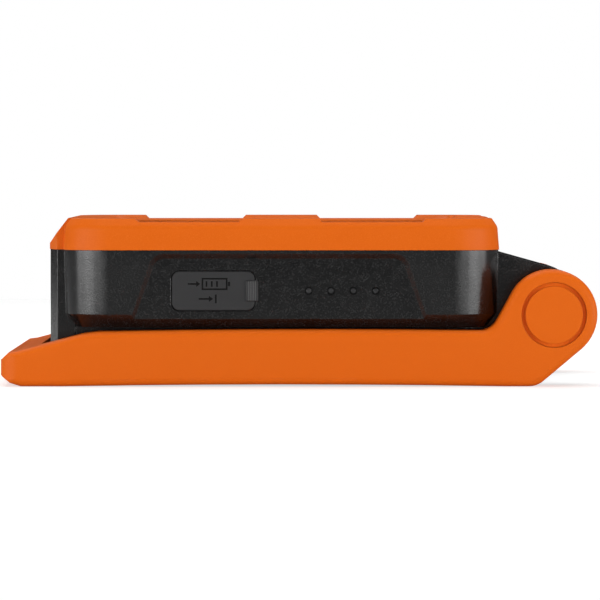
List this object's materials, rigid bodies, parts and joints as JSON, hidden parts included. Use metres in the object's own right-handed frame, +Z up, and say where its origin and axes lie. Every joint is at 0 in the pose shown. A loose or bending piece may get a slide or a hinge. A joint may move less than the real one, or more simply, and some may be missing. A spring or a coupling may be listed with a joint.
{
  "type": "jump starter pack",
  "caption": "Compact jump starter pack with a flood lamp face, covered sockets, charge lights and a folding handle that is also its stand.",
  "frame": {"origin": "below the middle of the whole object's box, on the surface that it stands on, handle folded", "axes": "+X from the handle's cross bar to its pivots, +Y from the charging side to the output side, +Z up through the lamp"},
  "size_m": [0.1923, 0.12, 0.054],
  "materials": {
    "black_plastic": "moulded, fine grain",
    "orange_plastic": "satin, fine grain",
    "orange_cap": "satin",
    "flap_rubber": "soft matt",
    "seal_rubber": "matt",
    "clear_lens": "clear, polished",
    "reflector_silver": "satin metallised",
    "led_phosphor": "glossy",
    "white_solder_mask": "glossy",
    "green_board": "glossy",
    "components": "matt",
    "heat_sink_aluminium": "extruded",
    "zinc_steel": "zinc plated",
    "dark_steel": "black oxide",
    "port_steel": "bright",
    "brass_contact": "bright",
    "cell_foil": "matt foil",
    "nickel_tab": "bright",
    "pipe_clear": "frosted clear",
    "led_body": "glossy",
    "tray_plastic": "moulded",
    "pad_foam": "foam",
    "acetal_white": "smooth",
    "bush_steel": "turned",
    "red_insulation": "satin",
    "black_insulation": "satin",
    "button_plastic": "satin",
    "switch_plastic": "smooth"
  },
  "bodies": {
    "pack": {"rear_housing": "black_plastic", "front_bezel": "orange_plastic", "housing_seal": "seal_rubber", "lens": "clear_lens", "lens_gasket": "seal_rubber", "reflector": "reflector_silver", "led_board": "white_solder_mask", "led_chips": "led_phosphor", "heat_sink": "heat_sink_aluminium", "case_screws": "zinc_steel", "heat_sink_screws": "zinc_steel", "led_board_screws": "zinc_steel", "board_screws": "zinc_steel", "battery_door": "black_plastic", "battery_door_screws": "dark_steel", "battery_tray": "tray_plastic", "battery_cells": "cell_foil", "cell_tabs": "nickel_tab", "protection_board": "green_board", "battery_pad": "pad_foam", "circuit_board": "green_board", "board_parts": "components", "usb_c_jack": "port_steel", "usb_a_jacks": "port_steel", "indicator_leds": "led_body", "light_pipes": "pipe_clear", "power_switch": "switch_plastic", "jump_socket": "tray_plastic", "jump_terminals": "brass_contact", "jump_lead_positive": "red_insulation", "jump_lead_negative": "black_insulation", "lamp_lead_positive": "red_insulation", "lamp_lead_negative": "black_insulation", "pivot_bushes": "bush_steel", "friction_washers": "acetal_white", "head_washers": "zinc_steel", "pivot_screws": "dark_steel", "pivot_nuts": "zinc_steel"},
    "handle": {"handle_frame": "orange_plastic", "pivot_caps": "orange_cap"},
    "input_flap_body": {"input_flap": "flap_rubber"},
    "output_flap_body": {"output_flap": "flap_rubber"},
    "jump_flap_body": {"jump_flap": "flap_rubber"},
    "power_button_body": {"power_button": "button_plastic"}
  },
  "joints": [
    {"name": "handle_fold", "type": "hinge", "parent": "pack", "child": "handle", "pos_m": [0.082, 0, 0.023], "axis": [0, -1, 0], "range_deg": [0, 225]},
    {"name": "input_flap_hinge", "type": "hinge", "parent": "pack", "child": "input_flap_body", "pos_m": [-0.0409, -0.05745, 0.0307], "axis": [0, 0, -1], "range_deg": [0, 120], "stiffness_Nm_per_rad": 0.002},
    {"name": "output_flap_hinge", "type": "hinge", "parent": "pack", "child": "output_flap_body", "pos_m": [0.0299, 0.05745, 0.0307], "axis": [0, 0, -1], "range_deg": [0, 120], "stiffness_Nm_per_rad": 0.002},
    {"name": "jump_flap_hinge", "type": "hinge", "parent": "pack", "child": "jump_flap_body", "pos_m": [-0.08115, 0.0164, 0.0315], "axis": [0, 0, -1], "range_deg": [0, 120], "stiffness_Nm_per_rad": 0.002},
    {"name": "power_button_press", "type": "slide", "parent": "pack", "child": "power_button_body", "axis": [0, -1, 0], "range_m": [0, 0.0008], "stiffness_N_per_m": 400, "springref_m": -0.001}
  ]
}
